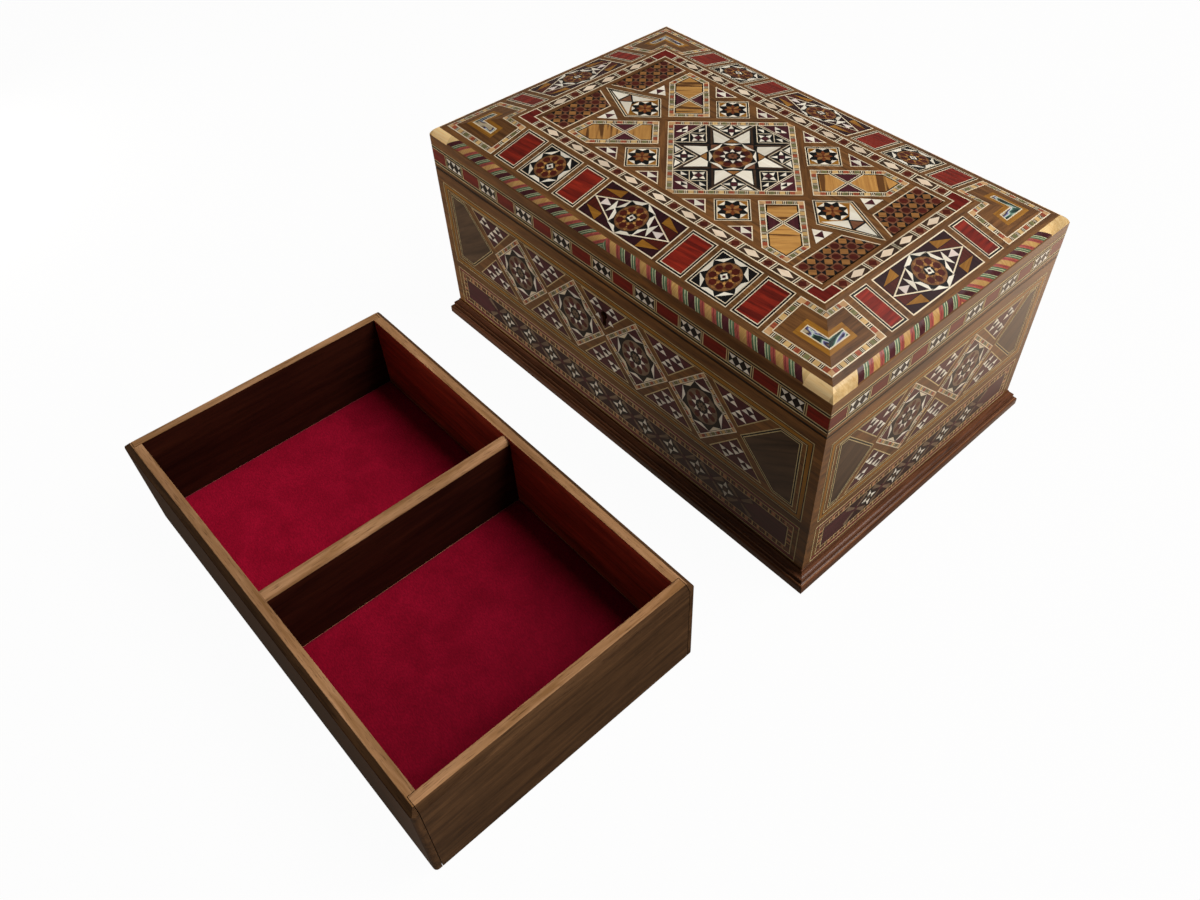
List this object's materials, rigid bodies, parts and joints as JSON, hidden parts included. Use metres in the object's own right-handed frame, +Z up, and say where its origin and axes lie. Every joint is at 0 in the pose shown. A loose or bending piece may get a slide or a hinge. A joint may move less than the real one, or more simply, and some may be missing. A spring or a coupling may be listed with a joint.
{
  "type": "inlaid jewellery box",
  "caption": "Rectangular wooden box covered in star marquetry, with a hinged lid, a small box lock and a lift-out divided tray lined in crimson velvet standing beside it.",
  "frame": {"origin": "middle of the underside of the box, on the table", "axes": "+X along the front of the box, +Y from the front to the hinged back, +Z up"},
  "size_m": [0.3106, 0.4193, 0.1468],
  "materials": {
    "marquetry": "polished marquetry of dark and light woods and bone under clear lacquer",
    "plinth_wood": "lacquered reddish-brown moulding",
    "striped_band": "polished band of slanted dyed wood strips",
    "pale_wood": "polished pale wood",
    "velvet": "crimson velvet pile",
    "brass": "satin brass",
    "tray_walnut": "oiled walnut",
    "carcass_wood": "dark stained walnut"
  },
  "bodies": {
    "box": {"front_wall": "carcass_wood", "back_wall": "carcass_wood", "left_wall": "carcass_wood", "right_wall": "carcass_wood", "floor_board": "carcass_wood", "floor_lining": "velvet", "left_tray_ledge": "carcass_wood", "right_tray_ledge": "carcass_wood", "front_plinth": "plinth_wood", "back_plinth": "plinth_wood", "left_plinth": "plinth_wood", "right_plinth": "plinth_wood", "front_marquetry": "marquetry", "back_marquetry": "marquetry", "left_marquetry": "marquetry", "right_marquetry": "marquetry", "left_hinge_body_leaf": "brass", "right_hinge_body_leaf": "brass", "hinge_pins": "brass", "hinge_body_screws": "brass", "lock_case": "brass", "lock_plate": "brass", "lock_screws": "brass"},
    "lid": {"lid_top_board": "carcass_wood", "lid_front_rail": "carcass_wood", "lid_back_rail": "carcass_wood", "lid_left_rail": "carcass_wood", "lid_right_rail": "carcass_wood", "lid_top_marquetry": "marquetry", "lid_front_slope": "marquetry", "lid_back_slope": "marquetry", "lid_left_slope": "marquetry", "lid_right_slope": "marquetry", "lid_front_marquetry": "marquetry", "lid_back_marquetry": "marquetry", "lid_left_marquetry": "marquetry", "lid_right_marquetry": "marquetry", "lid_front_edge": "striped_band", "lid_back_edge": "striped_band", "lid_left_edge": "striped_band", "lid_right_edge": "striped_band", "lid_corner_blocks": "pale_wood", "lid_lining": "velvet", "left_hinge_lid_leaf": "brass", "right_hinge_lid_leaf": "brass", "hinge_lid_screws": "brass", "lock_strike": "brass", "lock_strike_screws": "brass"},
    "bolt": {"lock_bolt": "brass"},
    "tray": {"tray_front_wall": "tray_walnut", "tray_back_wall": "tray_walnut", "tray_left_wall": "tray_walnut", "tray_right_wall": "tray_walnut", "tray_bottom": "tray_walnut", "tray_divider": "tray_walnut", "tray_left_lining": "velvet", "tray_right_lining": "velvet"}
  },
  "joints": [
    {"name": "lid_hinge", "type": "hinge", "parent": "box", "child": "lid", "pos_m": [0, 0.0979, 0.1132], "axis": [-1, 0, 0], "range_deg": [0, 95]},
    {"name": "bolt_throw", "type": "slide", "parent": "box", "child": "bolt", "axis": [1, 0, 0], "range_m": [0, 0.005]},
    {"name": "tray_lift", "type": "slide", "parent": "box", "child": "tray", "axis": [0, 0, 1], "range_m": [0, 0.15]}
  ]
}
